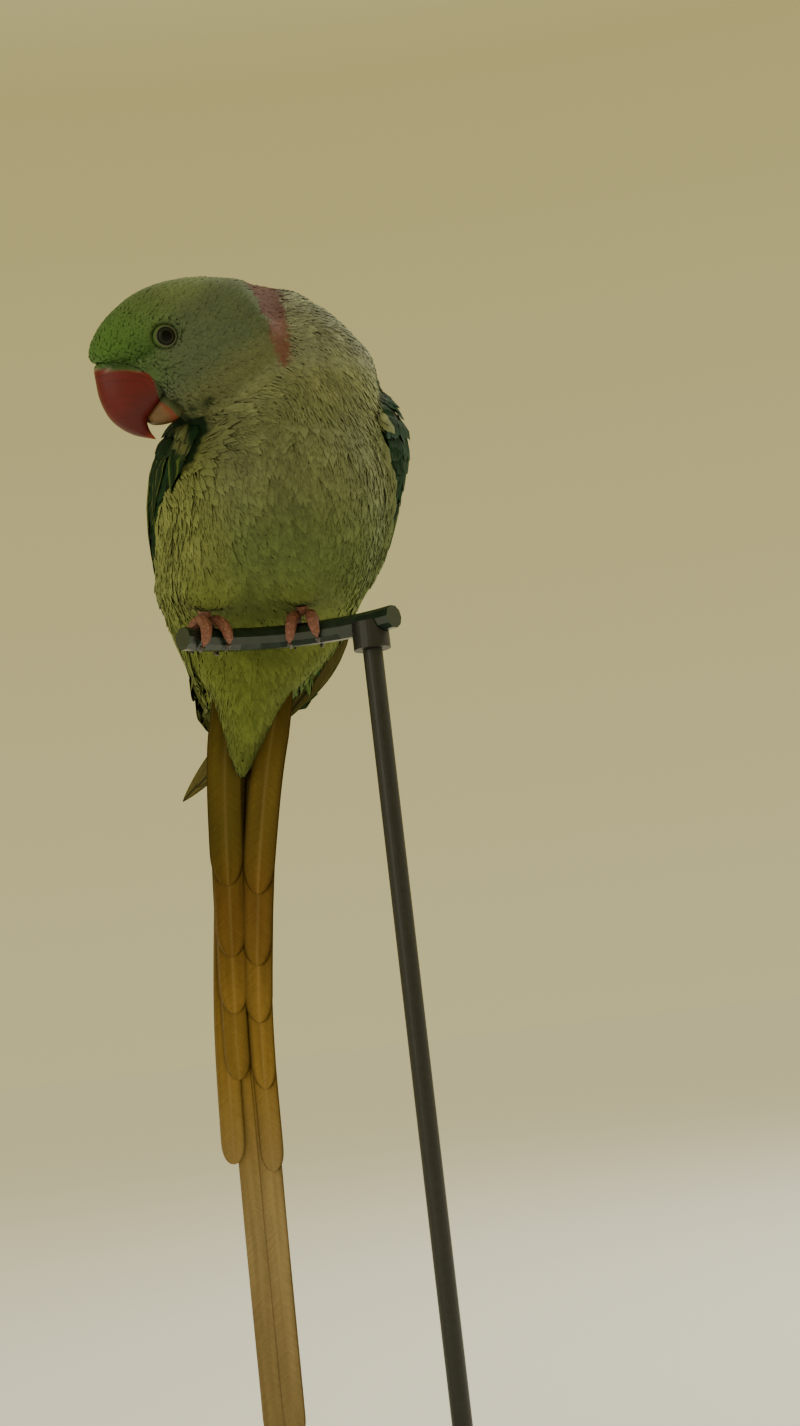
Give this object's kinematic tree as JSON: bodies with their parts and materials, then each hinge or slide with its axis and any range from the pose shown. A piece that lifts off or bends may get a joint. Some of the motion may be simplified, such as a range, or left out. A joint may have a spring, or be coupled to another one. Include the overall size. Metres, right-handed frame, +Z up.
{
  "type": "perched alexandrine parakeet",
  "caption": "Life-size still model of a green parakeet gripping a short curved rod, chest to the front, head turned over its right shoulder, long pointed tail hanging, on a plain display stand",
  "frame": {"origin": "the middle of the underside of the stand's base, on the floor", "axes": "+Z up; +X to the bird's left; +Y to the bird's back, so its chest faces -Y and its bill points to -X"},
  "size_m": [0.19, 0.19, 0.512],
  "materials": {
    "head_feathers": "fine short green feathers, brighter on the forehead",
    "neck_feathers": "grey-green feathers with a rose-pink collar",
    "body_feathers": "soft olive-green feathers, yellower on the belly",
    "wing_feathers": "dark green coverts and quills with a maroon shoulder patch",
    "tail_feathers": "mustard-yellow undersides, green upper sides",
    "foot_skin": "dull pinkish-brown scaly skin",
    "claw_horn": "dark grey horn",
    "bill_horn": "deep red horn with an orange tip",
    "eye": "wet and dark, with a narrow pale iris",
    "perch_paint": "glossy dark green paint on a round rod",
    "rod_paint": "matt black paint",
    "base_paint": "matt black painted wood"
  },
  "bodies": {
    "root": {"head": "head_feathers", "neck": "neck_feathers", "trunk": "body_feathers", "wing_left": "wing_feathers", "wing_right": "wing_feathers", "tail": "tail_feathers", "leg_left": "body_feathers", "leg_right": "body_feathers", "foot_left": "foot_skin", "foot_right": "foot_skin", "claw_left_1": "claw_horn", "claw_left_2": "claw_horn", "claw_left_3": "claw_horn", "claw_left_4": "claw_horn", "claw_right_1": "claw_horn", "claw_right_2": "claw_horn", "claw_right_3": "claw_horn", "claw_right_4": "claw_horn", "bill_upper": "bill_horn", "bill_lower": "bill_horn", "eye_left": "eye", "eye_right": "eye", "perch": "perch_paint", "stand_base": "base_paint", "stand_rod": "rod_paint", "stand_saddle": "rod_paint"}
  },
  "joints": []
}
